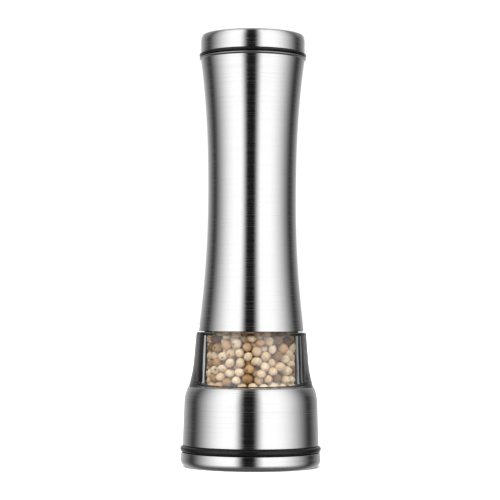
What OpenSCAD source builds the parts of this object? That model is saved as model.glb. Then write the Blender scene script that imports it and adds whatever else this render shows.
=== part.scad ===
// Twist pepper mill with a waisted steel handle, a clear window full of pepper
// and a heavy steel base. The base is held still and the tall handle is turned:
// it drives a square shaft with a toothed cone inside a toothed ring. The knob
// underneath sets the gap between them, and the cap on top comes off to refill.
// Millimetres, +Z up, origin at the middle of the face the mill stands on.

/* [Overall] */
// Height of the whole mill
mill_h = 200; // [170:1:250]
// Outer radius of the foot ring
foot_r = 32.2; // [29:0.1:40]
// Thickness of the steel sheet
sheet = 0.7; // [0.5:0.05:0.9]
// Gap between pieces that are pushed or glued together
fit_gap = 0.05; // [0.03:0.01:0.1]
// Gap between pieces that turn or slide in each other
run_gap = 0.1; // [0.06:0.01:0.15]

/* [Foot and grip ring] */
// Height of the foot ring
foot_h = 6.7; // [6:0.1:9]
// Radius of the foot ring's lower outside corner
foot_corner_r = 3.2; // [2:0.1:3.6]
// Width of the flat face that the mill stands on
foot_flat_w = 2; // [1.5:0.1:3]
// Diameter of the rubber grip ring's section
grip_d = 2.9; // [2.4:0.1:4]
// How far the grip ring stands proud of the foot ring
grip_proud = 0.3; // [0:0.1:0.6]
// Dark line left above and below the grip ring
seam = 0.15; // [0.1:0.05:0.4]

/* [Base shell] */
// Height of the steel base, from the table to the window
base_h = 36.7; // [36:0.1:50]
// How far the base shell lies inside the foot ring
base_step = 0.8; // [0.4:0.1:1.2]
// How far the base shell leans in below its shoulder
base_taper = 0.6; // [0.2:0.1:1.2]
// Height of the rounded shoulder
shoulder_h = 8; // [5:0.5:12]
// Radius of the shoulder's curve
shoulder_r = 20; // [16:1:40]

/* [Window] */
// Height of the clear window
window_h = 25.1; // [20:0.1:40]
// How far the window's foot lies inside the base shell
window_step = 0.35; // [0.2:0.05:0.6]
// How much narrower the window is at its top than at its foot
window_in = 3.4; // [2:0.1:4]
// Height of the window's flared foot
flare_h = 12; // [6:1:18]
// Radius of the flare's hollow curve
flare_r = 57; // [45:1:90]
// Wall of the window at its top
window_wall = 4.4; // [4:0.1:6]
// Thin line between the window and the base shell
window_line = 0.1; // [0.05:0.05:0.3]
// Height of the neck that the handle turns on
neck_h = 8.3; // [7:0.1:12]
// Wall of the neck
neck_wall = 1.8; // [1.4:0.1:2.4]
// How far the lip at the neck's top stands out
neck_lip = 0.4; // [0.3:0.05:0.5]
// Height of the neck's lip
neck_lip_h = 1.5; // [1:0.1:2]
// Depth of the window's spigot in the base
spigot_h = 4.9; // [4:0.1:6]
// Wall of the window's spigot
spigot_wall = 3; // [2:0.1:3.4]
// Thickness of the seal under the spigot
seal_t = 0.9; // [0.6:0.1:1.5]

/* [Handle tube] */
// How far the tube's foot lies inside the window's top edge
tube_step = 1.05; // [0.6:0.05:1.5]
// Gap between the turning tube and the window
swivel_gap = 0.3; // [0.2:0.05:0.6]
// Height of the waist above the tube's foot
waist_up = 61.4; // [40:0.1:70]
// How far the waist is drawn in from the tube's foot
waist_in = 4; // [2:0.1:5]
// How far the tube flares from its waist to its mouth
mouth_flare = 3.8; // [3:0.1:5]
// Diameter of the rolled bead round the tube's mouth
bead_d = 1.6; // [1.4:0.1:2.5]
// How far the rolled bead stands out from the tube
bead_proud = 0.65; // [0.4:0.05:0.9]
// Gap between the pepper sleeve and the tube's waist
sleeve_gap = 0.25; // [0.2:0.05:1]
// Wall of the pepper sleeve
sleeve_wall = 1.2; // [0.8:0.1:1.6]
// Wall of the collar between the neck and the tube
collar_wall = 2.05; // [1.9:0.05:3]
// Thickness of the collar's inner floor
collar_floor_t = 3; // [2.5:0.1:4]
// Width of the collar's inner floor
collar_floor_w = 3.2; // [2.5:0.1:4]
// Height of the collar's cup round the sleeve
cup_h = 5; // [3:0.5:8]

/* [Cap] */
// Height of the cap
cap_h = 9.1; // [8:0.1:14]
// How far the cap's side lies inside the rolled bead
cap_step = 0.7; // [0.4:0.05:1]
// Radius of the cap's upper corner
cap_corner_r = 2.3; // [1.5:0.1:3]
// Height of the cap's gentle crown
cap_crown = 0.5; // [0.2:0.1:1]
// Height of the slot that shows the black gasket
gasket_h = 1.3; // [1.2:0.1:2.2]
// Height of the plastic flange inside the cap
insert_flange_t = 2; // [1.5:0.1:3]
// Length of the plug below the gasket
plug_h = 7.1; // [6:0.1:9]
// Wall of the plug
plug_wall = 2; // [1.6:0.1:2.5]
// Height of the seal in the plug's groove
plug_seal_h = 1.6; // [1.2:0.1:2]
// Depth of the plug seal's groove
plug_seal_w = 1; // [0.8:0.1:1.2]
// Height of the plastic ring inside the tube's mouth
mouth_ring_h = 11; // [10:0.5:14]

/* [Drive] */
// Width of the square drive shaft across its flats
shaft_w = 5; // [4:0.1:6]
// Thickness of the clips on the shaft
clip_t = 0.6; // [0.4:0.1:0.8]
// How far a clip reaches out from the shaft's corners
clip_reach = 1.7; // [1.2:0.1:2.2]
// Depth of the clip grooves in the shaft's corners
clip_groove = 0.5; // [0.3:0.05:0.6]
// Height of the drive spider's ring and arms
spider_t = 3; // [2:0.1:4]
// Width of one spider arm
spider_arm_w = 3; // [2:0.1:4]
// Height of the spider's hub
spider_hub_h = 6; // [5:0.1:8]
// Wall of the spider's hub
hub_wall = 1.3; // [1:0.1:2]
// Wall of the bush round the shaft
bush_wall = 1; // [0.8:0.1:1.5]
// Height of the bridge's hub, which carries the bush
bridge_hub_h = 4.5; // [4:0.1:6]
// Wall of the bridge's hub
bridge_hub_wall = 3.4; // [2.5:0.1:4]
// Width of one bridge arm
bridge_arm_w = 3.5; // [2.5:0.1:5]
// Height of the bridge's outer ring
bridge_ring_h = 3.6; // [3:0.1:5]

/* [Burrs and adjuster] */
// Radius of the grinding cone at its wide lower edge
burr_r = 11.75; // [10:0.05:14.2]
// Radius of the grinding cone at its top
burr_top_r = 5.2; // [4.8:0.1:6]
// Height of the grinding cone
burr_h = 9; // [8:0.1:12]
// Height of the fine-grinding band at the foot of both burrs
fine_h = 3; // [2:0.1:4]
// Gap between the two burrs at the coarsest setting
coarse_gap = 0.45; // [0.4:0.05:0.8]
// How far the adjuster can lift the cone
adjust_travel = 0.9; // [0.5:0.05:1]
// Wall of the fixed grinding ring
stator_wall = 2.3; // [2:0.1:3]
// Number of teeth on the cone
rotor_teeth = 14; // [10:1:20]
// Number of teeth in the ring
stator_teeth = 18; // [12:1:24]
// Width of a tooth groove
tooth_w = 1.3; // [0.8:0.1:1.6]
// Radius of the adjuster knob
knob_r = 9; // [7:0.1:10]
// Height of the adjuster knob
knob_h = 6.5; // [5.5:0.1:7]
// Gap between the table and the knob
knob_clear = 3; // [2:0.1:4]
// Number of finger scallops round the knob
scallops = 8; // [6:1:12]
// Thickness of the steel washers
washer_t = 0.7; // [0.5:0.1:1]
// Height of the grinding cone's plain hub
rotor_hub_h = 3.2; // [3:0.1:4]
// Height of the feed paddle
paddle_h = 4; // [3:0.1:5]
// How far the paddle's blades reach out from the hub
paddle_reach = 2.8; // [2:0.1:3.2]
// Length of the spring at the coarsest setting
spring_h = 4; // [3.5:0.1:6]
// Diameter of the spring's wire
spring_wire = 0.6; // [0.4:0.05:0.7]
// Turns of the spring
spring_turns = 3.5; // [3:0.5:5]

/* [Housing] */
// Wall of the moulded housing
housing_wall = 1.6; // [1.2:0.1:2]
// Thickness of the cover under the housing
cover_t = 2.2; // [2:0.1:3]
// Radius of the funnel's throat over the burrs
throat_r = 9.3; // [8.8:0.1:10.5]
// Radius of a cover screw's thread
screw_r = 1.2; // [1:0.1:1.5]
// Length of a cover screw's thread
screw_l = 9; // [7:0.5:12]

/* [Pepper] */
// Gap between the heap of pepper and the walls round it
pepper_gap = 0.4; // [0.2:0.1:1]
// Height of the pepper above the window's top edge
pepper_over = 5; // [2:0.5:7]

/* [Hidden] */
$fn = 96;
arc_fn = 720;
round_fn = 48;
// Overshoot of a cut past the face it opens
eps = 0.5;
arms = 3;
// How deep an arm is rooted in its hub
root = 1;

// Heights of the base and the window
shell_z = foot_h + grip_d + 2 * seam;
shoulder_z = base_h - shoulder_h;
window_z = base_h + window_line;
window_top = window_z + window_h;
flare_z = window_z + flare_h;
neck_top = window_top + neck_h;
groove_floor_z = window_z - spigot_h - seal_t;

// Heights of the handle
tube_z = window_top + swivel_gap;
waist_z = tube_z + waist_up;
collar_floor_z = neck_top + run_gap;
seat_z = collar_floor_z + collar_floor_t;
cup_top = seat_z + cup_h;
spider_top = seat_z + spider_t;
spider_hub_rise = 1.7;
spider_hub_top = spider_top + spider_hub_rise;
spider_hub_z = spider_hub_top - spider_hub_h;
small_screw_l = 2.4;
shaft_tip = 1.2;
shaft_top = spider_hub_top + clip_t + shaft_tip;
cap_z = mill_h - cap_h;
bead_z = cap_z - gasket_h - bead_d / 2;
bead_top = bead_z + bead_d / 2;
mouth_top = bead_top - seam;
mouth_z = mouth_top - mouth_ring_h;
sleeve_socket_h = 3;
sleeve_top = mouth_z + sleeve_socket_h;
collar_rise = 0.4;

// Heights of the burrs, from the knob up
knob_top = knob_clear + knob_h;
nut_z = knob_clear + 2;
rotor_z = knob_top + washer_t;
cone_z = rotor_z + rotor_hub_h;
cone_top = cone_z + burr_h;
paddle_top = cone_top + paddle_h;
spring_top = paddle_top + spring_h;
bush_flange_t = 1;
bush_flange_w = 1.5;
bridge_hub_z = spring_top + bush_flange_t + run_gap;
bridge_hub_top = bridge_hub_z + bridge_hub_h;
bush_top = bridge_hub_top + run_gap;
lower_clip_z = bush_top + washer_t;
cover_drop = 0.4;
cover_z = cone_z - cover_drop - cover_t;
stator_z = cover_z + cover_t;
stator_rise = 1;
stator_top = stator_z + burr_h + stator_rise;
bridge_ring_z = window_z - bridge_ring_h;
shaft_inset = 1.4;
shaft_end = knob_clear + shaft_inset;
shaft_step_gap = 0.3;
shaft_square_z = rotor_z + adjust_travel + shaft_step_gap;

// Radii of the outside, from the foot up
grip_r = foot_r + grip_proud;
shell_foot_r = foot_r - base_step;
shoulder_foot_r = shell_foot_r - base_taper;
base_top_r = shoulder_foot_r - shoulder_r + sqrt(pow(shoulder_r, 2) - pow(shoulder_h, 2));
window_foot_r = base_top_r - window_step;
window_top_r = window_foot_r - window_in;
flare_out = flare_r - sqrt(pow(flare_r, 2) - pow(flare_h, 2));
window_lean = atan((window_in - flare_out) / window_h);
flare_top_r = window_top_r + (window_top - flare_z) * tan(window_lean);
flare_c = [flare_top_r + flare_r * cos(window_lean), flare_z + flare_r * sin(window_lean)];
tube_foot_r = window_top_r - tube_step;
waist_r = tube_foot_r - waist_in;
lower_arc_r = (pow(waist_up, 2) + pow(waist_in, 2)) / (2 * waist_in);
upper_arc_r = (pow(bead_z - waist_z, 2) + pow(mouth_flare, 2)) / (2 * mouth_flare);
bead_r = waist_r + mouth_flare + bead_proud;
bead_c_r = bead_r - bead_d / 2;
cap_r = bead_r - cap_step;
cap_corner_c = [cap_r - cap_corner_r, mill_h - cap_crown - cap_corner_r];
crown_r = (pow(cap_corner_c.x, 2) + pow(cap_crown, 2)) / (2 * cap_crown);

// Radii of the insides
foot_inner_r = foot_r - foot_corner_r - foot_flat_w;
foot_lip_cut = 0.5;
housing_r = base_top_r - sheet - 5 * fit_gap;
groove_wall = 1.1;
spigot_r = housing_r - groove_wall - run_gap;
spigot_inner_r = spigot_r - spigot_wall;
groove_inner_wall = 0.9;
bridge_seat_r = spigot_inner_r - run_gap - groove_inner_wall;
bore_r = window_top_r - window_wall;
neck_r = tube_foot_r - sheet - collar_wall;
neck_bore_r = neck_r - neck_wall;
neck_slope_h = 1.9;
sleeve_r = waist_r - sheet - sleeve_gap;
sleeve_bore_r = sleeve_r - sleeve_wall;
collar_hole_r = sleeve_bore_r - collar_floor_w;
spider_ring_r = sleeve_bore_r - fit_gap;
spider_ring_in = collar_hole_r + 2 * run_gap;
spider_mid_r = (spider_ring_r + spider_ring_in) / 2;
small_screw_r = 0.7;
mouth_step = 0.7;
mouth_bore_r = sleeve_r + mouth_step;
plug_r = mouth_bore_r - 0.8 * run_gap;
gasket_clear = 0.02;
gasket_r = gasket_h / 2 - gasket_clear;
gasket_c_r = bead_r + fit_gap - gasket_r;
insert_flange_r = cap_r - sheet - fit_gap;
insert_neck_r = min(insert_flange_r, gasket_c_r - gasket_r - fit_gap);

// Radii of the drive
shaft_corner_r = shaft_w / sqrt(2);
shaft_round_r = shaft_w / 2;
bush_r = shaft_corner_r + bush_wall;
bridge_bore_r = bush_r + fit_gap;
bridge_hub_r = bridge_bore_r + bridge_hub_wall;
hub_r = shaft_corner_r + hub_wall;
hub_foot_r = hub_r + 1;
spring_gap = 0.7;
spring_r = shaft_corner_r + spring_gap;
clip_r = shaft_corner_r + clip_reach;
clip_hole_r = shaft_corner_r - clip_groove;
washer_lip = 1.2;
washer_r = clip_r + washer_lip;

// The two burrs share one slope in each of their two zones
fine_step = 0.85;
rotor_fine_r = burr_r - fine_step;
cone_rim_h = 0.4;
stator_bore_r = burr_r + coarse_gap;
fine_open = 0.25;
stator_fine_r = rotor_fine_r + coarse_gap + fine_open;
throat_lip = 0.4;
stator_mouth_r = throat_r - throat_lip;
stator_r = stator_bore_r + stator_wall;
cover_hole_gap = 0.4;
cover_hole_r = stator_bore_r + cover_hole_gap;
cover_gap = 0.6;
cover_r = foot_inner_r - cover_gap;
recess_r = cover_r + run_gap;
seat_ring_r = stator_r + fit_gap + housing_wall;
post_wall = 1.4;
post_r = screw_r + post_wall;
post_at = (seat_ring_r + recess_r) / 2;
screw_head_r = 2 * screw_r;
screw_head_h = 1.2;
nut_wall = 1.6;
nut_r = shaft_round_r + nut_wall;

// Ring or disc from radius r_in to r_out between two heights
module ring(r_in, r_out, z_lo, z_hi) {
    rotate_extrude()
        translate([r_in, z_lo])
            square([r_out - r_in, z_hi - z_lo]);
}

// Copies of one shape, evenly spaced round the axis
module around(count) {
    for (i = [0:count - 1])
        rotate([0, 0, i * 360 / count])
            children();
}

// Square bar on the axis
module square_bar(width, z_lo, z_hi) {
    translate([-width / 2, -width / 2, z_lo])
        cube([width, width, z_hi - z_lo]);
}

// Half section of the tube's filled shape under its skin, below or above the waist
module tube_half(inset, z_lo, z_hi, arc_r) {
    difference() {
        translate([0, z_lo])
            square([waist_r + waist_in + mouth_flare, z_hi - z_lo]);
        translate([waist_r + arc_r, waist_z])
            circle(r = arc_r + inset, $fn = arc_fn);
    }
}

// Half section of a straight-tapered piece glued inside the tube: its side meets the
// tube's inner skin at its own half height
module tube_plug(z_lo, z_hi, arc_r) {
    mid_up = (z_lo + z_hi) / 2 - waist_z;
    skin_arc_r = arc_r + sheet + fit_gap;
    drop = sqrt(pow(skin_arc_r, 2) - pow(mid_up, 2));
    mid_r = waist_r + arc_r - drop;
    rise = mid_up / drop * (z_hi - z_lo) / 2;
    polygon([[0, z_lo], [mid_r - rise, z_lo], [mid_r + rise, z_hi], [0, z_hi]]);
}

// Half section of the base shell's filled shape, under its skin
module base_half(inset, z_lo, z_hi) {
    lean_run = base_taper * (shoulder_z - z_lo) / (shoulder_z - shell_z);
    polygon([[0, z_lo], [shoulder_foot_r + lean_run - inset, z_lo],
        [shoulder_foot_r - inset, shoulder_z], [0, shoulder_z]]);
    intersection() {
        translate([0, shoulder_z])
            square([foot_r, z_hi - shoulder_z]);
        translate([shoulder_foot_r - shoulder_r, shoulder_z])
            circle(r = shoulder_r - inset, $fn = arc_fn);
    }
}

// Half section of the cap's filled shape, under its skin
module cap_half(inset, z_lo) {
    translate([0, z_lo])
        square([cap_r - inset, cap_corner_c.y - z_lo]);
    translate(cap_corner_c)
        circle(r = cap_corner_r - inset);
    intersection() {
        translate([0, cap_corner_c.y - eps])
            square([cap_corner_c.x, cap_corner_r + cap_crown + eps]);
        translate([0, mill_h - crown_r])
            circle(r = crown_r - inset, $fn = arc_fn);
    }
}

// Steel cap that covers the mouth
module cap_shell() {
    color("silver")
        rotate_extrude()
            difference() {
                cap_half(0, cap_z);
                cap_half(sheet, cap_z - eps);
            }
}

// Plastic inside of the cap, with the plug that closes the mouth
module cap_insert() {
    plug_top = bead_top + run_gap;
    groove_z = plug_top - plug_h / 2 - plug_seal_h / 2;
    color("dimgray")
        difference() {
            union() {
                ring(0, insert_flange_r, cap_z, cap_z + insert_flange_t);
                ring(0, insert_neck_r, plug_top, cap_z + eps);
                ring(0, plug_r, plug_top - plug_h, plug_top + eps);
            }
            ring(0, plug_r - plug_wall, plug_top - plug_h + plug_wall, cap_z + insert_flange_t + eps);
            ring(plug_r - plug_seal_w, plug_r + eps, groove_z, groove_z + plug_seal_h);
        }
}

// Black ring in the slot between the cap and the rolled bead
module cap_gasket() {
    color("black")
        rotate_extrude()
            translate([gasket_c_r, cap_z - gasket_r])
                circle(r = gasket_r, $fn = round_fn);
}

// Soft ring in the plug's groove
module plug_seal() {
    seal_mid = bead_top + run_gap - plug_h / 2;
    seal_in = plug_r - plug_seal_w + fit_gap;
    seal_half = plug_seal_h / 2 - fit_gap;
    color("black")
        ring(seal_in, plug_r + 0.4 * run_gap, seal_mid - seal_half, seal_mid + seal_half);
}

// Waisted steel tube with its rolled bead
module tube_shell() {
    color("silver")
        rotate_extrude() {
            difference() {
                tube_half(0, tube_z, waist_z, lower_arc_r);
                tube_half(sheet, tube_z - eps, waist_z + eps, lower_arc_r);
            }
            difference() {
                tube_half(0, waist_z, bead_z, upper_arc_r);
                tube_half(sheet, waist_z - eps, bead_z + eps, upper_arc_r);
            }
            translate([bead_c_r, bead_z])
                circle(r = bead_d / 2, $fn = round_fn);
        }
}

// Plastic ring inside the tube's mouth: bore for the plug, socket for the sleeve
module mouth_ring() {
    bead_foot_z = bead_z - bead_d / 2 - seam;
    color("dimgray")
        difference() {
            union() {
                rotate_extrude()
                    tube_plug(mouth_z, bead_foot_z, upper_arc_r);
                ring(0, bead_c_r - bead_d / 2 - run_gap, bead_foot_z - eps, mouth_top);
            }
            ring(0, mouth_bore_r, sleeve_top + fit_gap, mouth_top + eps);
            ring(0, sleeve_r + fit_gap, mouth_z - eps, sleeve_top + fit_gap + eps);
        }
}

// Plain inner tube that holds the pepper
module pepper_sleeve() {
    color("gainsboro")
        ring(sleeve_bore_r, sleeve_r, seat_z, sleeve_top);
}

// Collar glued in the tube's foot, which turns on the neck and hooks under its lip
module swivel_collar() {
    lip_z = neck_top - neck_lip_h - 2 * run_gap;
    color("dimgray")
        difference() {
            rotate_extrude()
                tube_plug(tube_z + collar_rise, cup_top, lower_arc_r);
            ring(0, neck_r + run_gap, tube_z - eps, collar_floor_z);
            ring(0, neck_r + neck_lip + run_gap, lip_z, collar_floor_z);
            ring(0, collar_hole_r, collar_floor_z - eps, seat_z + eps);
            ring(0, sleeve_r + fit_gap, seat_z, cup_top + eps);
            around(arms)
                translate([spider_mid_r, 0, seat_z - small_screw_l - run_gap])
                    cylinder(r = small_screw_r + fit_gap, h = small_screw_l + eps);
        }
}

// Three-armed hub that carries the handle's turn to the shaft
module drive_spider() {
    color("whitesmoke")
        difference() {
            union() {
                ring(spider_ring_in, spider_ring_r, seat_z, spider_top);
                ring(0, hub_r, spider_hub_z, spider_hub_top);
                around(arms)
                    translate([hub_r - root, -spider_arm_w / 2, seat_z])
                        cube([spider_mid_r - hub_r + root, spider_arm_w, spider_t]);
            }
            square_bar(shaft_w + 2 * fit_gap, spider_hub_z - eps, spider_hub_top + eps);
            around(arms)
                translate([spider_mid_r, 0, seat_z - eps])
                    cylinder(r = small_screw_r + run_gap, h = spider_t + 2 * eps);
        }
}

// Three small screws that hold the spider on the collar's floor
module spider_screws() {
    small_head_r = 1.3;
    small_head_h = 1;
    slot_w = 0.3;
    color("silver")
        around(arms)
            translate([spider_mid_r, 0, 0]) {
                ring(0, small_screw_r, seat_z - small_screw_l, spider_top + fit_gap);
                difference() {
                    ring(0, small_head_r, spider_top, spider_top + small_head_h);
                    translate([-slot_w / 2, -small_head_r, spider_top + small_head_h / 2])
                        cube([slot_w, 2 * small_head_r, small_head_h]);
                }
            }
}

// Square shaft with a round threaded end for the adjuster
module drive_shaft() {
    color("lightgray")
        difference() {
            union() {
                square_bar(shaft_w, shaft_square_z, shaft_top);
                ring(0, shaft_round_r, shaft_end, shaft_square_z + eps);
            }
            ring(clip_hole_r - fit_gap, shaft_corner_r + eps, lower_clip_z, lower_clip_z + clip_t);
            ring(clip_hole_r - fit_gap, shaft_corner_r + eps, spider_hub_top, spider_hub_top + clip_t);
        }
}

// Spring-steel clips in the shaft's grooves, over the bridge and over the spider
module shaft_clips() {
    mouth_half = 0.8 * clip_hole_r;
    color("dimgray")
        for (z = [lower_clip_z, spider_hub_top])
            difference() {
                ring(clip_hole_r, clip_r, z, z + clip_t);
                translate([0, -mouth_half, z - eps])
                    cube([clip_r + eps, 2 * mouth_half, clip_t + 2 * eps]);
            }
}

// Plastic bush that turns with the shaft inside the bridge
module shaft_bush() {
    color("whitesmoke")
        difference() {
            union() {
                ring(0, bush_r, spring_top, bush_top);
                ring(0, bush_r + bush_flange_w, spring_top, spring_top + bush_flange_t);
            }
            square_bar(shaft_w + 2 * fit_gap, spring_top - eps, bush_top + eps);
        }
}

// Steel washer between the bush and the lower clip
module thrust_washer() {
    color("silver")
        ring(shaft_corner_r + fit_gap, washer_r, bush_top, lower_clip_z);
}

// Bars laid along a cone's side from (r_lo, z_lo) to (r_hi, z_hi), to cut its teeth
module tooth_cuts(count, r_lo, z_lo, r_hi, z_hi) {
    run = sqrt(pow(r_hi - r_lo, 2) + pow(z_hi - z_lo, 2));
    lean = atan((r_hi - r_lo) / (z_hi - z_lo));
    around(count)
        translate([(r_lo + r_hi) / 2, 0, (z_lo + z_hi) / 2])
            rotate([0, lean, 0])
                rotate([0, 0, 45])
                    cube([tooth_w / sqrt(2), tooth_w / sqrt(2), run + 2], center = true);
}

// Toothed grinding cone, which turns with the shaft and slides on it
module rotor_burr() {
    color("whitesmoke")
        difference() {
            union() {
                rotate_extrude()
                    polygon([[0, cone_z], [burr_r, cone_z], [burr_r, cone_z + cone_rim_h],
                        [rotor_fine_r, cone_z + fine_h], [burr_top_r, cone_top], [0, cone_top]]);
                ring(0, hub_foot_r, rotor_z, cone_z + eps);
            }
            square_bar(shaft_w + 2 * run_gap, rotor_z - eps, cone_top + eps);
            tooth_cuts(rotor_teeth, burr_r, cone_z, rotor_fine_r, cone_z + fine_h);
            tooth_cuts(rotor_teeth, rotor_fine_r, cone_z + fine_h, burr_top_r + 0.6, cone_top);
        }
}

// Toothed ring that the cone grinds against
module stator_burr() {
    color("whitesmoke")
        difference() {
            rotate_extrude()
                polygon([[stator_bore_r, stator_z], [stator_r, stator_z], [stator_r, stator_top],
                    [stator_mouth_r, stator_top], [stator_fine_r, cone_z + fine_h],
                    [stator_bore_r, cone_z]]);
            tooth_cuts(stator_teeth, stator_bore_r, stator_z, stator_fine_r, cone_z + fine_h);
            tooth_cuts(stator_teeth, stator_fine_r, cone_z + fine_h, stator_mouth_r, stator_top);
        }
}

// Hub with two slanted blades that push the pepper down into the burrs
module feed_paddle() {
    blade_t = 1.2;
    blade_lean = 35;
    blade_trim = 0.2;
    blade_root = 0.5;
    color("whitesmoke")
        difference() {
            union() {
                ring(0, hub_r, cone_top, paddle_top);
                intersection() {
                    ring(hub_r - blade_root, hub_r + paddle_reach, cone_top, paddle_top - blade_trim);
                    around(2)
                        translate([hub_r - blade_root, 0, (cone_top + paddle_top) / 2])
                            rotate([blade_lean, 0, 0])
                                translate([0, -blade_t / 2, -paddle_h])
                                    cube([paddle_reach + 2, blade_t, 2 * paddle_h]);
                }
            }
            square_bar(shaft_w + 2 * run_gap, cone_top - eps, paddle_top + eps);
        }
}

// Point on the spring's wire at turn t, at angle a round the wire's own section
function wire_point(t, a) =
    let (r = spring_r + spring_wire / 2 * cos(a),
         rise = (t / spring_turns) * (spring_h - spring_wire))
    [r * cos(360 * t), r * sin(360 * t), paddle_top + spring_wire / 2 * (1 + sin(a)) + rise];

// Coil spring that holds the cone down on the adjuster
module burr_spring() {
    sides = 8;
    steps = spring_turns * 20;
    points = [for (i = [0:steps]) for (j = [0:sides - 1])
        wire_point(spring_turns * i / steps, 360 * j / sides)];
    walls = [for (i = [0:steps - 1]) for (j = [0:sides - 1])
        [i * sides + j, i * sides + (j + 1) % sides,
            (i + 1) * sides + (j + 1) % sides, (i + 1) * sides + j]];
    start = [[for (j = [sides - 1:-1:0]) j]];
    finish = [[for (j = [0:sides - 1]) steps * sides + j]];
    color("silver")
        polyhedron(points = points, faces = concat(walls, start, finish), convexity = 6);
}

// Steel washer between the adjuster and the cone
module adjuster_washer() {
    color("silver")
        ring(shaft_round_r + run_gap, hub_foot_r, knob_top, rotor_z);
}

// Scalloped knob that lifts the cone on the shaft's thread
module adjuster_knob() {
    edge = 0.8;
    bore = shaft_round_r + 4 * run_gap;
    scallop_r = 2.3;
    scallop_depth = 1;
    color("dimgray")
        difference() {
            rotate_extrude()
                polygon([[bore, knob_clear], [knob_r - edge, knob_clear],
                    [knob_r, knob_clear + edge], [knob_r, knob_top - edge],
                    [knob_r - edge, knob_top], [bore, knob_top]]);
            ring(0, nut_r + fit_gap, nut_z, knob_top + eps);
            around(scallops)
                translate([knob_r + scallop_r - scallop_depth, 0, knob_clear - eps])
                    cylinder(r = scallop_r, h = knob_h + 2 * eps);
        }
}

// Brass nut moulded in the knob
module knob_nut() {
    color("goldenrod")
        ring(shaft_round_r + fit_gap, nut_r, nut_z, knob_top);
}

// Clear body: flared window, spigot in the base and neck for the handle
module window_body() {
    top_edge = 0.8;
    color("lightcyan", 0.5)
        rotate_extrude()
            difference() {
                polygon([[bore_r, window_z], [spigot_inner_r, window_z],
                    [spigot_inner_r, window_z - spigot_h], [spigot_r, window_z - spigot_h],
                    [spigot_r, window_z], [window_foot_r, window_z], [window_foot_r, flare_z],
                    [flare_top_r, flare_z], [window_top_r, window_top - top_edge],
                    [window_top_r - top_edge, window_top], [neck_r, window_top],
                    [neck_r, neck_top - neck_lip_h], [neck_r + neck_lip, neck_top - neck_lip_h / 2],
                    [neck_r + neck_lip, neck_top], [neck_bore_r, neck_top],
                    [neck_bore_r, window_top], [bore_r, window_top - neck_slope_h]]);
                translate(flare_c)
                    circle(r = flare_r, $fn = arc_fn);
            }
}

// Soft ring under the window's spigot
module window_seal() {
    color("black")
        ring(spigot_inner_r + 2 * run_gap, spigot_r - 2 * run_gap, groove_floor_z,
            groove_floor_z + seal_t);
}

// Heap of pepper behind the window, as one plain solid round the shaft
module peppercorns() {
    shaft_clear = shaft_corner_r + spring_gap;
    floor_z = lower_clip_z + clip_t + pepper_gap + run_gap;
    color("wheat")
        rotate_extrude()
            polygon([[shaft_clear, floor_z], [bore_r - pepper_gap, floor_z],
                [bore_r - pepper_gap, window_top - neck_slope_h - pepper_gap],
                [neck_bore_r - pepper_gap, window_top],
                [neck_bore_r - pepper_gap, window_top + pepper_over],
                [shaft_clear, window_top + pepper_over]]);
}

// Steel skin of the base
module base_shell() {
    color("silver")
        rotate_extrude()
            difference() {
                base_half(0, shell_z, base_h);
                base_half(sheet, shell_z - eps, base_h + eps);
            }
}

// Moulded core of the base: funnel, seat of the fixed burr and screw posts
module mill_housing() {
    skirt_in = foot_inner_r + sheet + 2 * run_gap;
    skirt_out = foot_r - sheet - 3 * run_gap;
    skirt_top = foot_h - run_gap;
    leg_top = foot_h - foot_lip_cut + fit_gap;
    groove_r = grip_r - grip_d - fit_gap;
    band_z = shell_z + run_gap;
    band_h = 3.7;
    band_r = shell_foot_r - sheet - 3 * run_gap;
    floor_z = groove_floor_z - housing_wall;
    throat_h = 1.2;
    throat_top = stator_top + throat_h;
    funnel_slope = (bridge_ring_z - throat_top) / (bore_r - throat_r);
    pocket_ceiling = throat_top + (seat_ring_r - throat_r) * funnel_slope - 2 * housing_wall;
    color("dimgray")
        difference() {
            rotate_extrude()
                polygon([[0, sheet], [foot_r - foot_corner_r, sheet], [skirt_out, foot_corner_r],
                    [skirt_out, skirt_top], [groove_r, skirt_top], [groove_r, band_z],
                    [band_r, band_z], [band_r, band_z + band_h], [housing_r, band_z + band_h],
                    [housing_r, window_z], [0, window_z]]);
            // Room inside the foot ring and the cover's recess
            ring(0, skirt_in, -eps, leg_top);
            ring(0, recess_r, leg_top - eps, stator_z);
            // Hollow between the burr's seat and the wall
            difference() {
                rotate_extrude()
                    polygon([[seat_ring_r, stator_z - eps], [recess_r, stator_z - eps], [recess_r, floor_z],
                        [seat_ring_r + (floor_z - pocket_ceiling) / funnel_slope, floor_z],
                        [seat_ring_r, pocket_ceiling]]);
                around(arms)
                    translate([post_at, 0, stator_z])
                        cylinder(r = post_r, h = floor_z);
            }
            // Seat of the fixed burr, throat, funnel and the bridge's seat
            ring(0, stator_r + fit_gap, stator_z - eps, stator_top);
            ring(0, throat_r, stator_top - eps, throat_top);
            rotate_extrude()
                polygon([[0, throat_top], [throat_r, throat_top],
                    [bore_r, bridge_ring_z], [0, bridge_ring_z]]);
            ring(0, bridge_seat_r, bridge_ring_z, window_z + eps);
            // Groove for the window's spigot
            ring(spigot_inner_r - run_gap, spigot_r + run_gap, groove_floor_z, window_z + eps);
            // Pilot holes for the cover screws
            around(arms)
                translate([post_at, 0, stator_z - eps])
                    cylinder(r = screw_r + fit_gap, h = screw_l + eps);
        }
}

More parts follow.
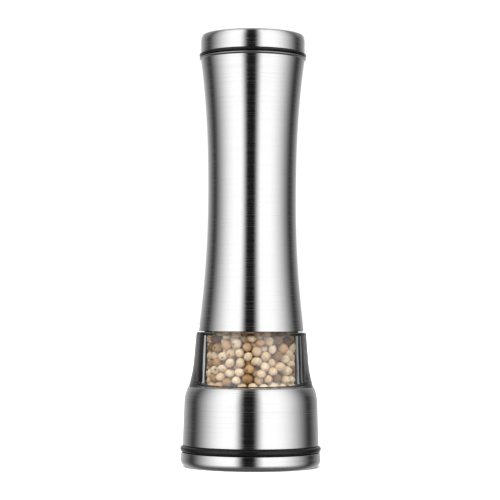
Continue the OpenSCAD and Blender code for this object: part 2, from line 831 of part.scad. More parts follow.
// Three-armed bridge over the funnel, which steadies the shaft
module bearing_bridge() {
    color("dimgray")
        difference() {
            union() {
                ring(bore_r, bridge_seat_r - fit_gap, bridge_ring_z, window_z);
                ring(0, bridge_hub_r, bridge_hub_z, bridge_hub_top);
                around(arms)
                    translate([bridge_hub_r - root, -bridge_arm_w / 2, bridge_ring_z])
                        cube([bore_r - bridge_hub_r + 1.5 * root, bridge_arm_w,
                            bridge_hub_top - bridge_ring_z]);
            }
            ring(0, bridge_bore_r, bridge_hub_z - eps, bridge_hub_top + eps);
        }
}

// Cover under the housing: it holds the fixed burr in its seat
module bottom_cover() {
    color("dimgray")
        difference() {
            ring(cover_hole_r, cover_r, cover_z, stator_z);
            around(arms)
                translate([post_at, 0, cover_z - eps]) {
                    cylinder(r = screw_r + run_gap, h = cover_t + 2 * eps);
                    cylinder(r = screw_head_r + run_gap, h = screw_head_h + eps);
                }
        }
}

// Three screws that hold the cover
module cover_screws() {
    cross_w = 0.6;
    color("silver")
        around(arms)
            translate([post_at, 0, 0])
                difference() {
                    union() {
                        ring(0, screw_head_r, cover_z, cover_z + screw_head_h);
                        ring(0, screw_r, cover_z + screw_head_h - fit_gap, stator_z + screw_l - 1);
                    }
                    for (a = [0, 90])
                        rotate([0, 0, a])
                            translate([-cross_w / 2, -screw_r, cover_z - eps])
                                cube([cross_w, 2 * screw_r, eps + cross_w]);
                }
}

// Black rubber ring round the base, for a firm hold
module grip_ring() {
    color("black")
        rotate_extrude()
            translate([grip_r - grip_d / 2, foot_h + seam + grip_d / 2])
                circle(r = grip_d / 2, $fn = round_fn);
}

// Rolled steel channel that the mill stands on
module foot_ring() {
    corner_c = [foot_r - foot_corner_r, foot_corner_r];
    color("silver")
        rotate_extrude()
            difference() {
                union() {
                    translate([foot_inner_r, 0])
                        square([corner_c.x - foot_inner_r, foot_h]);
                    translate([foot_inner_r, foot_corner_r])
                        square([foot_r - foot_inner_r, foot_h - foot_corner_r]);
                    translate(corner_c)
                        circle(r = foot_corner_r);
                }
                translate([foot_inner_r + sheet, sheet])
                    square([corner_c.x - foot_inner_r - sheet, foot_h]);
                translate([foot_inner_r + sheet, foot_corner_r])
                    square([foot_r - foot_inner_r - 2 * sheet, foot_h]);
                translate(corner_c)
                    circle(r = foot_corner_r - sheet);
                translate([foot_inner_r - eps, foot_h - foot_lip_cut])
                    square([sheet + 2 * eps, 2 * foot_lip_cut]);
            }
}

cap_shell();
cap_insert();
cap_gasket();
plug_seal();
tube_shell();
mouth_ring();
pepper_sleeve();
swivel_collar();
drive_spider();
spider_screws();
drive_shaft();
shaft_clips();
shaft_bush();
thrust_washer();
rotor_burr();
feed_paddle();
burr_spring();
adjuster_washer();
adjuster_knob();
knob_nut();
window_body();
window_seal();
peppercorns();
base_shell();
mill_housing();
bearing_bridge();
stator_burr();
bottom_cover();
cover_screws();
grip_ring();
foot_ring();
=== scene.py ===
"""Studio model of a twist pepper mill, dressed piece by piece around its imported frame.

Lengths named in millimetres are turned into metres where a mesh is made. The frame
gives every place: +Z is up, the mill stands on z = 0 and its front looks along -Y.
"""

import logging
import math
from dataclasses import dataclass, field
from enum import Enum
from typing import Callable, Optional

import bmesh
import bpy
import numpy as np
from mathutils import Euler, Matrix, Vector, noise


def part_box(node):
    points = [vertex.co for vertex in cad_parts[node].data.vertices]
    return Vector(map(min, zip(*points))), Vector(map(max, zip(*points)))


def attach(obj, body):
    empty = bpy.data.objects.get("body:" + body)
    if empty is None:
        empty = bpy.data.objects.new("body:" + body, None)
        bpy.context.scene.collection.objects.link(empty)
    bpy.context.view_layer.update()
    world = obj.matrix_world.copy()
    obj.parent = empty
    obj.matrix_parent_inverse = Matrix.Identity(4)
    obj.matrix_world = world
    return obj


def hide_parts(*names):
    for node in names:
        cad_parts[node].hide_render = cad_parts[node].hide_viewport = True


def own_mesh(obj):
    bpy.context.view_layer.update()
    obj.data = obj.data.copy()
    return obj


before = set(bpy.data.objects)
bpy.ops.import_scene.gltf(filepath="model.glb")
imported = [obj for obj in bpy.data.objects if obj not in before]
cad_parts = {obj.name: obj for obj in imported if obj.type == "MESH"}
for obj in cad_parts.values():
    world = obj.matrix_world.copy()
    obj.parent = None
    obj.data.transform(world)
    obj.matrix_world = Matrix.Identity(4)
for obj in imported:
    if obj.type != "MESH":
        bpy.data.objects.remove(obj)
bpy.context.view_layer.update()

LOG = logging.getLogger("pepper_mill")
MM = 0.001
AROUND = 224

Point = tuple[float, float]
Colour = tuple[float, float, float]


class Slot(Enum):
    """The record's material slots."""

    BRUSHED_STEEL = "brushed_steel"
    PLAIN_STEEL = "plain_steel"
    ACRYLIC = "clear_acrylic"
    RUBBER = "black_rubber"
    BLACK_PLASTIC = "black_plastic"
    NATURAL_PLASTIC = "natural_plastic"
    CERAMIC = "white_ceramic"
    BRASS = "brass"
    PEPPER = "peppercorn"


class Body(Enum):
    """The frame's moving bodies."""

    BASE = "base"
    HANDLE = "handle"
    LID = "lid"
    ROTOR = "rotor"
    KNOB = "knob"


# ---------------------------------------------------------------- shader nodes


class Shader:
    """Lays out the nodes of one material around a Principled shader."""

    def __init__(self, name: str) -> None:
        """Makes an empty material.

        Args:
            name: the material's name.
        """
        self.material = bpy.data.materials.new(name)
        self.material.use_nodes = True
        self.tree = self.material.node_tree
        self.surface = self.tree.nodes["Principled BSDF"]

    def add(self, kind: str, **settings: object) -> bpy.types.Node:
        """Adds a node.

        Args:
            kind: the node type's name, without its ShaderNode prefix.
            **settings: properties set on the node.

        Returns:
            The new node.
        """
        node = self.tree.nodes.new("ShaderNode" + kind)
        for key, value in settings.items():
            setattr(node, key, value)
        return node

    def join(self, source: bpy.types.NodeSocket, target: bpy.types.NodeSocket) -> None:
        """Links one socket to another."""
        self.tree.links.new(source, target)

    def set(self, **values: object) -> None:
        """Sets the Principled shader's own sockets, with _ for each space in a name."""
        for key, value in values.items():
            self.surface.inputs[key.replace("_", " ")].default_value = value

    def place(self) -> bpy.types.NodeSocket:
        """Gives the point's place on the piece, in metres."""
        return self.add("TexCoord").outputs["Object"]

    def grain(
        self, vector: bpy.types.NodeSocket, scale: float, detail: float = 2.0, rough: float = 0.55
    ) -> bpy.types.NodeSocket:
        """Adds a noise texture.

        Args:
            vector: where the noise is read.
            scale: features per metre.
            detail: octaves.
            rough: weight of the finer octaves.

        Returns:
            The noise's value, from 0 to 1.
        """
        node = self.add("TexNoise")
        node.inputs["Scale"].default_value = scale
        node.inputs["Detail"].default_value = detail
        node.inputs["Roughness"].default_value = rough
        self.join(vector, node.inputs["Vector"])
        return node.outputs["Fac"]

    def span(
        self, value: bpy.types.NodeSocket, low: float, high: float, start: float = 0.0, end: float = 1.0
    ) -> bpy.types.NodeSocket:
        """Maps start..end of a value onto low..high, clamped.

        Returns:
            The mapped value.
        """
        node = self.add("MapRange")
        node.inputs["From Min"].default_value = start
        node.inputs["From Max"].default_value = end
        node.inputs["To Min"].default_value = low
        node.inputs["To Max"].default_value = high
        self.join(value, node.inputs["Value"])
        return node.outputs["Result"]

    def blend(self, share: bpy.types.NodeSocket, first: object, second: object) -> bpy.types.NodeSocket:
        """Mixes two colours, each a socket or three numbers.

        Returns:
            The mixed colour.
        """
        node = self.add("Mix", data_type="RGBA")
        self.join(share, node.inputs["Factor"])
        for socket, colour in ((node.inputs[6], first), (node.inputs[7], second)):
            if isinstance(colour, tuple):
                socket.default_value = (*colour, 1.0)
            else:
                self.join(colour, socket)
        return node.outputs[2]

    def paint(self, colour: bpy.types.NodeSocket) -> None:
        """Links a colour to the shader's base colour."""
        self.join(colour, self.surface.inputs["Base Color"])

    def relief(
        self, height: bpy.types.NodeSocket, depth: float, strength: float = 1.0
    ) -> None:
        """Adds bump on top of what is there.

        Args:
            height: the relief, from 0 to 1.
            depth: its full depth in metres.
            strength: how much of it shows.
        """
        node = self.add("Bump")
        node.inputs["Distance"].default_value = depth
        node.inputs["Strength"].default_value = strength
        self.join(height, node.inputs["Height"])
        before = self.surface.inputs["Normal"]
        if before.is_linked:
            self.join(before.links[0].from_socket, node.inputs["Normal"])
        self.join(node.outputs["Normal"], before)

    def turned(self, across: float, along: float) -> bpy.types.NodeSocket:
        """Coordinates in which fine lines run round the axis.

        Args:
            across: features per metre across the lines, up a wall or out on a flat top.
            along: features per metre along the lines.

        Returns:
            A vector for a noise texture of scale 1.
        """
        split = self.add("SeparateXYZ")
        self.join(self.place(), split.inputs[0])
        flat = self.add("CombineXYZ")
        self.join(split.outputs["X"], flat.inputs["X"])
        self.join(split.outputs["Y"], flat.inputs["Y"])
        radius = self.add("VectorMath", operation="LENGTH")
        self.join(flat.outputs[0], radius.inputs[0])
        climb = self.add("Math", operation="ADD")
        self.join(radius.outputs["Value"], climb.inputs[0])
        self.join(split.outputs["Z"], climb.inputs[1])
        parts = []
        for socket, scale in (
            (split.outputs["X"], along),
            (split.outputs["Y"], along),
            (climb.outputs[0], across),
        ):
            times = self.add("Math", operation="MULTIPLY")
            times.inputs[1].default_value = scale
            self.join(socket, times.inputs[0])
            parts.append(times.outputs[0])
        out = self.add("CombineXYZ")
        for index, part in enumerate(parts):
            self.join(part, out.inputs[index])
        return out.outputs[0]


# -------------------------------------------------------------------- finishes


@dataclass(frozen=True)
class BrushedSteel:
    """Stainless sheet, brushed round the mill's axis."""

    name: str = "brushed_steel"
    colour: Colour = (0.56, 0.56, 0.565)
    roughness: float = 0.165
    stretch: float = 0.95
    fine_lines: float = 5600.0
    broad_lines: float = 2100.0

    def make(self) -> bpy.types.Material:
        """Builds the material."""
        s = Shader(self.name)
        s.set(Metallic=1.0, Anisotropic=self.stretch, Anisotropic_Rotation=0.25)
        way = s.add("Tangent", direction_type="RADIAL", axis="Z")
        s.join(way.outputs[0], s.surface.inputs["Tangent"])
        fine = s.grain(s.turned(self.fine_lines, 24.0), 1.0, detail=1.0)
        broad = s.grain(s.turned(self.broad_lines, 7.0), 1.0, detail=3.0, rough=0.7)
        cloud = s.grain(s.place(), 60.0)
        dark = tuple(c * 0.95 for c in self.colour)
        bright = tuple(c * 1.03 for c in self.colour)
        lines = s.blend(s.span(broad, 0.0, 1.0, 0.3, 0.7), dark, bright)
        s.paint(s.blend(s.span(cloud, 0.0, 0.25, 0.35, 0.7), lines, self.colour))
        s.join(
            s.span(broad, self.roughness - 0.07, self.roughness + 0.15, 0.33, 0.70),
            s.surface.inputs["Roughness"],
        )
        s.relief(fine, 0.004 * MM, 0.5)
        s.relief(broad, 0.010 * MM, 0.35)
        return s.material


@dataclass(frozen=True)
class PolishedSteel:
    """Bright steel: bead, wire, washers, clips, screws and bar."""

    name: str = "plain_steel"
    colour: Colour = (0.40, 0.40, 0.41)
    roughness: float = 0.13

    def make(self) -> bpy.types.Material:
        """Builds the material."""
        s = Shader(self.name)
        s.set(Metallic=1.0)
        marks = s.grain(s.turned(2500.0, 160.0), 1.0, detail=3.0)
        dark = tuple(c * 0.88 for c in self.colour)
        s.paint(s.blend(s.span(marks, 0.0, 1.0, 0.3, 0.7), dark, self.colour))
        s.join(
            s.span(marks, self.roughness - 0.04, self.roughness + 0.07, 0.25, 0.75),
            s.surface.inputs["Roughness"],
        )
        s.relief(marks, 0.006 * MM, 0.4)
        return s.material


@dataclass(frozen=True)
class ClearAcrylic:
    """Clear polished acrylic with faint upright flow lines from the mould."""

    name: str = "clear_acrylic"
    index: float = 1.49
    streaks: float = 420.0
    stretch: float = 0.05
    wave: float = 0.035

    def make(self) -> bpy.types.Material:
        """Builds the material."""
        s = Shader(self.name)
        s.set(Base_Color=(0.985, 0.99, 0.99, 1.0), IOR=self.index, Transmission_Weight=1.0)
        haze = s.grain(s.place(), 420.0, detail=3.0)
        s.join(s.span(haze, 0.0, 0.012, 0.6, 0.9), s.surface.inputs["Roughness"])
        flow = s.add("VectorMath", operation="MULTIPLY")
        flow.inputs[1].default_value = (1.0, 1.0, self.stretch)
        s.join(s.place(), flow.inputs[0])
        s.relief(s.grain(flow.outputs[0], self.streaks, detail=2.0), self.wave * MM, 1.0)
        return s.material


@dataclass(frozen=True)
class BlackRubber:
    """Smooth black rubber with a faint bloom and a soft sheen."""

    name: str = "black_rubber"
    colour: Colour = (0.004, 0.004, 0.004)

    def make(self) -> bpy.types.Material:
        """Builds the material."""
        s = Shader(self.name)
        s.set(IOR=1.5, Specular_IOR_Level=0.24)
        dust = s.grain(s.place(), 900.0, detail=4.0)
        s.paint(s.blend(s.span(dust, 0.0, 0.5, 0.5, 0.8), self.colour, (0.014, 0.014, 0.013)))
        s.join(s.span(dust, 0.12, 0.19, 0.3, 0.7), s.surface.inputs["Roughness"])
        s.relief(dust, 0.012 * MM, 0.4)
        return s.material


@dataclass(frozen=True)
class MouldedPlastic:
    """Moulded plastic with a fine spark-eroded grain."""

    name: str
    colour: Colour
    roughness: float = 0.5
    subsurface: float = 0.0

    def make(self) -> bpy.types.Material:
        """Builds the material."""
        s = Shader(self.name)
        s.set(IOR=1.5, Subsurface_Weight=self.subsurface, Subsurface_Scale=0.4 * MM)
        fine = s.grain(s.place(), 3600.0, detail=2.0)
        flow = s.grain(s.place(), 70.0, detail=2.0)
        lift = tuple(min(1.0, c * 1.18 + 0.004) for c in self.colour)
        s.paint(s.blend(s.span(flow, 0.0, 1.0, 0.3, 0.7), self.colour, lift))
        s.join(
            s.span(fine, self.roughness - 0.08, self.roughness + 0.1, 0.3, 0.7),
            s.surface.inputs["Roughness"],
        )
        s.relief(fine, 0.02 * MM, 0.5)
        return s.material


@dataclass(frozen=True)
class WhiteCeramic:
    """Sintered white ceramic, satin, with tiny pores."""

    name: str = "white_ceramic"
    colour: Colour = (0.84, 0.83, 0.79)

    def make(self) -> bpy.types.Material:
        """Builds the material."""
        s = Shader(self.name)
        s.set(IOR=1.6, Subsurface_Weight=0.08, Subsurface_Scale=0.5 * MM)
        pores = s.add("TexVoronoi")
        pores.inputs["Scale"].default_value = 1800.0
        s.join(s.place(), pores.inputs["Vector"])
        pit = s.span(pores.outputs["Distance"], 0.0, 1.0, 0.05, 0.22)
        s.paint(s.blend(pit, tuple(c * 0.86 for c in self.colour), self.colour))
        s.join(s.span(s.grain(s.place(), 300.0), 0.28, 0.42), s.surface.inputs["Roughness"])
        s.relief(pit, 0.01 * MM, 0.4)
        return s.material


@dataclass(frozen=True)
class TurnedBrass:
    """Brass with fine turning lines."""

    name: str = "brass"
    colour: Colour = (0.78, 0.57, 0.27)

    def make(self) -> bpy.types.Material:
        """Builds the material."""
        s = Shader(self.name)
        s.set(Metallic=1.0)
        rings = s.grain(s.turned(4000.0, 30.0), 1.0, detail=2.0)
        s.paint(s.blend(rings, tuple(c * 0.85 for c in self.colour), self.colour))
        s.join(s.span(rings, 0.22, 0.36), s.surface.inputs["Roughness"])
        s.relief(rings, 0.008 * MM, 0.4)
        return s.material


@dataclass(frozen=True)
class WhitePepper:
    """Dried white pepper: cream to tan, each corn its own tone, with a darker stem scar."""

    name: str = "peppercorn"
    pale: Colour = (0.76, 0.63, 0.45)
    tan: Colour = (0.50, 0.30, 0.13)
    brown: Colour = (0.12, 0.05, 0.016)
    scar: Colour = (0.09, 0.045, 0.02)

    def make(self) -> bpy.types.Material:
        """Builds the material."""
        s = Shader(self.name)
        s.set(IOR=1.45, Specular_IOR_Level=0.35)
        tone = s.add("Attribute", attribute_name="tone").outputs["Fac"]
        mark = s.add("Attribute", attribute_name="scar").outputs["Fac"]
        ramp = s.add("ValToRGB")
        ramp.color_ramp.elements[0].color = (*self.brown, 1.0)
        ramp.color_ramp.elements[1].color = (*self.pale, 1.0)
        middle = ramp.color_ramp.elements.new(0.28)
        middle.color = (*self.tan, 1.0)
        s.join(tone, ramp.inputs["Fac"])
        mottle = s.grain(s.place(), 650.0, detail=4.0, rough=0.65)
        dusky = s.add("Mix", data_type="RGBA", blend_type="MULTIPLY")
        s.join(s.span(mottle, 0.0, 0.75, 0.42, 0.75), dusky.inputs["Factor"])
        s.join(ramp.outputs["Color"], dusky.inputs[6])
        dusky.inputs[7].default_value = (0.66, 0.54, 0.40, 1.0)
        s.paint(s.blend(s.span(mark, 0.0, 0.85), dusky.outputs[2], self.scar))
        s.join(s.span(mottle, 0.48, 0.66), s.surface.inputs["Roughness"])
        s.relief(s.grain(s.place(), 1500.0, detail=3.0), 0.10 * MM, 0.55)
        return s.material


class Finishes:
    """Makes each finish once and hands it out by slot."""

    def __init__(self) -> None:
        """Lists the finish of each slot."""
        self.recipes = {
            Slot.BRUSHED_STEEL: BrushedSteel(),
            Slot.PLAIN_STEEL: PolishedSteel(),
            Slot.ACRYLIC: ClearAcrylic(),
            Slot.RUBBER: BlackRubber(),
            Slot.BLACK_PLASTIC: MouldedPlastic("black_plastic", (0.018, 0.018, 0.019)),
            Slot.NATURAL_PLASTIC: MouldedPlastic("natural_plastic", (0.76, 0.74, 0.67), 0.38, 0.15),
            Slot.CERAMIC: WhiteCeramic(),
            Slot.BRASS: TurnedBrass(),
            Slot.PEPPER: WhitePepper(),
        }
        self.made: dict[Slot, bpy.types.Material] = {}

    def of(self, slot: Slot) -> bpy.types.Material:
        """Gives the material of a slot."""
        if slot not in self.made:
            self.made[slot] = self.recipes[slot].make()
        return self.made[slot]


# --------------------------------------------------------------------- shaping


@dataclass
class Outline:
    """A half section in the r-z plane, in millimetres, listed anticlockwise."""

    corners: list[tuple[float, float, float]] = field(default_factory=list)

    def corner(self, r: float, z: float, rounding: float = 0.0) -> "Outline":
        """Adds a corner.

        Args:
            r: radius.
            z: height.
            rounding: radius of the corner's fillet.

        Returns:
            This outline.
        """
        self.corners.append((r, z, rounding))
        return self

    def run(self, *corners: tuple) -> "Outline":
        """Adds several corners, each as (r, z) or (r, z, rounding).

        Returns:
            This outline.
        """
        for each in corners:
            self.corner(*each)
        return self

    def wall(
        self, radius_at: Callable[[float], float], z_from: float, z_to: float, steps: int
    ) -> "Outline":
        """Adds a curved wall whose radius is a function of height.

        Returns:
            This outline.
        """
        for i in range(steps + 1):
            z = z_from + (z_to - z_from) * i / steps
            self.corner(radius_at(z), z)
        return self

    def arc(self, centre: Point, radius: float, start: float, end: float, steps: int) -> "Outline":
        """Adds an arc between two angles in degrees, measured from +r towards +z.

        Returns:
            This outline.
        """
        for i in range(steps + 1):
            a = math.radians(start + (end - start) * i / steps)
            self.corner(centre[0] + radius * math.cos(a), centre[1] + radius * math.sin(a))
        return self

    def points(self, steps: int = 5) -> list[Point]:
        """Gives the outline's points, with its corners rounded.

        Args:
            steps: straight stretches in each rounded corner.

        Returns:
            The points, in millimetres.
        """
        out: list[Point] = []
        count = len(self.corners)
        for i, (r, z, rounding) in enumerate(self.corners):
            here = Vector((r, z))
            back = Vector(self.corners[i - 1][:2]) - here
            ahead = Vector(self.corners[(i + 1) % count][:2]) - here
            if rounding <= 0 or back.length < 1e-6 or ahead.length < 1e-6:
                out.append((r, z))
                continue
            half = back.angle(ahead) / 2
            reach = min(rounding / math.tan(half), 0.48 * back.length, 0.48 * ahead.length)
            true = reach * math.tan(half)
            back.normalize()
            ahead.normalize()
            centre = here + (back + ahead).normalized() * (true / math.sin(half))
            first, last = here + back * reach - centre, here + ahead * reach - centre
            for k in range(steps + 1):
                ray = first.lerp(last, k / steps).normalized() * true
                out.append(tuple(centre + ray))
        return out


def smooth(piece: bpy.types.Object, crease: float = 32.0) -> bpy.types.Object:
    """Shades a piece smooth, apart from its sharp edges.

    Args:
        piece: the mesh piece.
        crease: the angle in degrees from which an edge is sharp.

    Returns:
        The piece.
    """
    piece.data.shade_smooth()
    piece.data.set_sharp_from_angle(angle=math.radians(crease))
    return piece


def mesh_piece(name: str, points: list, faces: list) -> bpy.types.Object:
    """Makes a piece from points in metres and faces."""
    mesh = bpy.data.meshes.new(name)
    mesh.from_pydata(points, [], faces)
    mesh.validate()
    piece = bpy.data.objects.new(name, mesh)
    bpy.context.scene.collection.objects.link(piece)
    return piece


def revolve(
    name: str,
    outline: Outline,
    around: int = AROUND,
    shape: Optional[Callable[[float, float], float]] = None,
) -> bpy.types.Object:
    """Turns an outline round the axis into a closed piece.

    Args:
        name: the piece's name.
        outline: its half section; one that ends on the axis at both ends makes a disc.
        around: steps round the axis.
        shape: changes a radius at an angle in radians, for scallops and ribs.

    Returns:
        The new piece.
    """
    section = outline.points()
    points: list[tuple[float, float, float]] = []
    rings: list[list[int]] = []
    for r, z in section:
        start = len(points)
        if r < 1e-6:
            points.append((0.0, 0.0, z * MM))
            rings.append([start] * around)
            continue
        for k in range(around):
            a = 2 * math.pi * k / around
            radius = shape(a, r) if shape else r
            points.append((radius * MM * math.cos(a), radius * MM * math.sin(a), z * MM))
        rings.append(list(range(start, start + around)))
    faces = []
    for i, low in enumerate(rings):
        high = rings[(i + 1) % len(rings)]
        if low[0] == low[1] and high[0] == high[1]:
            continue
        for k in range(around):
            n = (k + 1) % around
            quad = [low[k], low[n], high[n], high[k]]
            faces.append(list(dict.fromkeys(quad)))
    return smooth(mesh_piece(name, points, faces))


def sweep(name: str, path: list[Vector], radius: float, sides: int = 12) -> bpy.types.Object:
    """Draws a round wire along a path, both in metres, with closed ends."""
    points, faces = [], []
    for i, here in enumerate(path):
        ahead = (path[min(i + 1, len(path) - 1)] - path[max(i - 1, 0)]).normalized()
        out = Vector((here.x, here.y, 0.0)).normalized()
        up = ahead.cross(out).normalized()
        for k in range(sides):
            a = 2 * math.pi * k / sides
            points.append(tuple(here + radius * (out * math.cos(a) + up * math.sin(a))))
    for i in range(len(path) - 1):
        for k in range(sides):
            n = (k + 1) % sides
            faces.append([i * sides + k, i * sides + n, (i + 1) * sides + n, (i + 1) * sides + k])
    faces.append(list(range(sides - 1, -1, -1)))
    faces.append([(len(path) - 1) * sides + k for k in range(sides)])
    piece = mesh_piece(name, points, faces)
    tidy = bmesh.new()
    tidy.from_mesh(piece.data)
    bmesh.ops.recalc_face_normals(tidy, faces=tidy.faces)
    tidy.to_mesh(piece.data)
    tidy.free()
    return smooth(piece, 50.0)


@dataclass
class Extent:
    """Outer radius, foot and top of a CAD node, in millimetres."""

    r: float
    foot: float
    top: float

    @classmethod
    def of(cls, node: str) -> "Extent":
        """Reads a node's extent from the frame."""
        low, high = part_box(node)
        return cls(high.x / MM, low.z / MM, high.z / MM)


class Assembly:
    """One sub-assembly: its pieces ride on one body and take their finish by slot."""

    def __init__(self, finishes: Finishes, body: Body) -> None:
        """Remembers the finishes and the body."""
        self.finishes = finishes
        self.body = body

    def fit(self, piece: bpy.types.Object, slot: Slot, *nodes: str) -> bpy.types.Object:
        """Finishes a new piece and sets it in the frame.

        Args:
            piece: the new piece.
            slot: its material slot.
            *nodes: the CAD nodes that it stands for.

        Returns:
            The piece.
        """
        piece.data.materials.clear()
        piece.data.materials.append(self.finishes.of(slot))
        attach(piece, self.body.value)
        if nodes:
            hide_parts(*nodes)
        LOG.info("%s rides on %s, %d faces", piece.name, self.body.value, len(piece.data.polygons))
        return piece

    def dress(self, slot: Slot, *nodes: str) -> None:
        """Gives CAD nodes their finish."""
        for name in nodes:
            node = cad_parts[name]
            node.data.materials.clear()
            node.data.materials.append(self.finishes.of(slot))
            LOG.info("%s dressed in %s", name, slot.value)


# ---------------------------------------------------------------- the assemblies


@dataclass
class Cap:
    """Steel cap with its insert, gasket and seal."""

    finishes: Finishes
    sheet: float = 0.7
    corner: float = 1.0
    corner_h: float = 3.3
    bend_step: int = 6
    crown: float = 0.5
    lip: float = 0.33

    def shell(self) -> bpy.types.Object:
        """Builds the drawn steel cap, with a rolled lower lip and a gentle crown."""
        e = Extent.of("cap_shell")
        inner = e.r - self.sheet
        flat_r = e.r - self.corner

        def crown_at(r: float) -> float:
            """Height of the crown at a radius."""
            return e.top - self.crown * (r / flat_r) ** 2

        def bend(inset: float, count: int) -> list[Point]:
            """Points of the tall rounded corner going up, set in by the sheet's thickness."""
            wide, tall = self.corner - inset / 2, self.corner_h - inset
            foot = crown_at(flat_r) - self.corner_h
            turns = [math.radians(i * self.bend_step) for i in range(count)]
            return [(e.r - inset - wide * (1 - math.cos(a)), foot + tall * math.sin(a)) for a in turns]

        o = Outline().run((inner, e.foot, self.lip), (e.r, e.foot, self.lip))
        o.run(*bend(0.0, 15))
        for i in range(13):
            r = flat_r * (1 - i / 12)
            o.corner(r, crown_at(r))
        for i in range(9):
            r = (flat_r - self.sheet) * i / 8
            o.corner(r, crown_at(r) - self.sheet)
        o.run(*reversed(bend(self.sheet, 14)))
        return revolve("cap_skin", o)

    def gasket(self) -> bpy.types.Object:
        """Builds the soft ring under the cap."""
        e = Extent.of("cap_gasket")
        half = (e.top - e.foot) / 2
        o = Outline().arc((e.r - half, e.foot + half), half, -90, 258, 29)
        return revolve("gasket_ring", o)

    def build(self) -> None:
        """Builds and dresses the cap."""
        a = Assembly(self.finishes, Body.LID)
        a.fit(self.shell(), Slot.BRUSHED_STEEL, "cap_shell")
        a.fit(self.gasket(), Slot.RUBBER, "cap_gasket")
        a.dress(Slot.BLACK_PLASTIC, "cap_insert")
        a.dress(Slot.RUBBER, "plug_seal")


@dataclass
class Handle:
    """Waisted tube that is turned, with everything that turns with it."""

    finishes: Finishes
    sheet: float = 0.7
    foot_r: float = 24.33
    waist_r: float = 20.33
    waist_up: float = 61.4
    mouth_flare: float = 3.8
    flare_power: float = 2.4
    bead_d: float = 1.6
    bead_nose: float = 0.68
    edge: float = 0.22

    def tube(self) -> bpy.types.Object:
        """Builds the tube: two long hollow curves that meet at the waist."""
        e = Extent.of("tube_shell")
        waist_z = e.foot + self.waist_up
        bead_z = e.top - self.bead_d / 2
        low = self.foot_r - self.waist_r

        def skin(z: float) -> float:
            """Outer radius at a height."""
            if z < waist_z:
                return self.waist_r + low * ((waist_z - z) / self.waist_up) ** 2
            rise = (z - waist_z) / (bead_z - waist_z)
            return self.waist_r + self.mouth_flare * rise**self.flare_power

        def lining(z: float) -> float:
            """Inner radius at a height."""
            return skin(z) - self.sheet

        foot = e.foot + 3 * self.edge
        o = Outline().run((lining(e.foot), e.foot, self.edge), (skin(e.foot), e.foot, self.edge))
        o.wall(skin, foot, bead_z, 96)
        o.wall(lining, bead_z, foot, 48)
        return revolve("tube_skin", o)

    def bead(self) -> bpy.types.Object:
        """Builds the polished bead rolled round the tube's mouth."""
        e = Extent.of("tube_shell")
        roll = self.bead_d / 2
        o = Outline()
        for i in range(36):
            a = math.radians(10 * i)
            c, s = math.cos(a), math.sin(a)
            out = abs(c) ** (1 / self.bead_nose) * math.copysign(roll, c)
            up = abs(s) ** (1 / self.bead_nose) * math.copysign(roll, s)
            o.corner(e.r - roll + out, e.top - roll + up)
        return revolve("mouth_bead", o)

    def build(self) -> None:
        """Builds and dresses the handle."""
        a = Assembly(self.finishes, Body.HANDLE)
        a.fit(self.tube(), Slot.BRUSHED_STEEL, "tube_shell")
        a.fit(self.bead(), Slot.PLAIN_STEEL)
        a.dress(Slot.BLACK_PLASTIC, "mouth_ring", "swivel_collar")
        a.dress(Slot.NATURAL_PLASTIC, "pepper_sleeve", "drive_spider", "shaft_bush")
        a.dress(Slot.PLAIN_STEEL, "spider_screws", "drive_shaft", "shaft_clips", "thrust_washer")


@dataclass
class Grinder:
    """Toothed cone with its paddle, spring and washer."""

    finishes: Finishes
    wire: float = 0.6
    turns: float = 3.5
    steps: int = 28

    def spring(self) -> bpy.types.Object:
        """Builds the coil, with its end turns closed flat."""
        e = Extent.of("burr_spring")
        middle = e.r - self.wire / 2
        rise = e.top - e.foot - self.wire
        path = []
        count = int(self.turns * self.steps)
        for i in range(count + 1):
            t = i / count
            climb = t * t * (3 - 2 * t)
            a = 2 * math.pi * self.turns * t
            z = e.foot + self.wire / 2 + rise * climb
            path.append(Vector((middle * math.cos(a), middle * math.sin(a), z)) * MM)
        return sweep("spring_coil", path, self.wire / 2 * MM)

    def build(self) -> None:
        """Builds and dresses the grinder."""
        a = Assembly(self.finishes, Body.ROTOR)
        coil = a.fit(self.spring(), Slot.PLAIN_STEEL, "burr_spring")
        e = Extent.of("burr_spring")
        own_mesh(coil)
        a.dress(Slot.CERAMIC, "rotor_burr")
        a.dress(Slot.NATURAL_PLASTIC, "feed_paddle")
        a.dress(Slot.PLAIN_STEEL, "adjuster_washer")


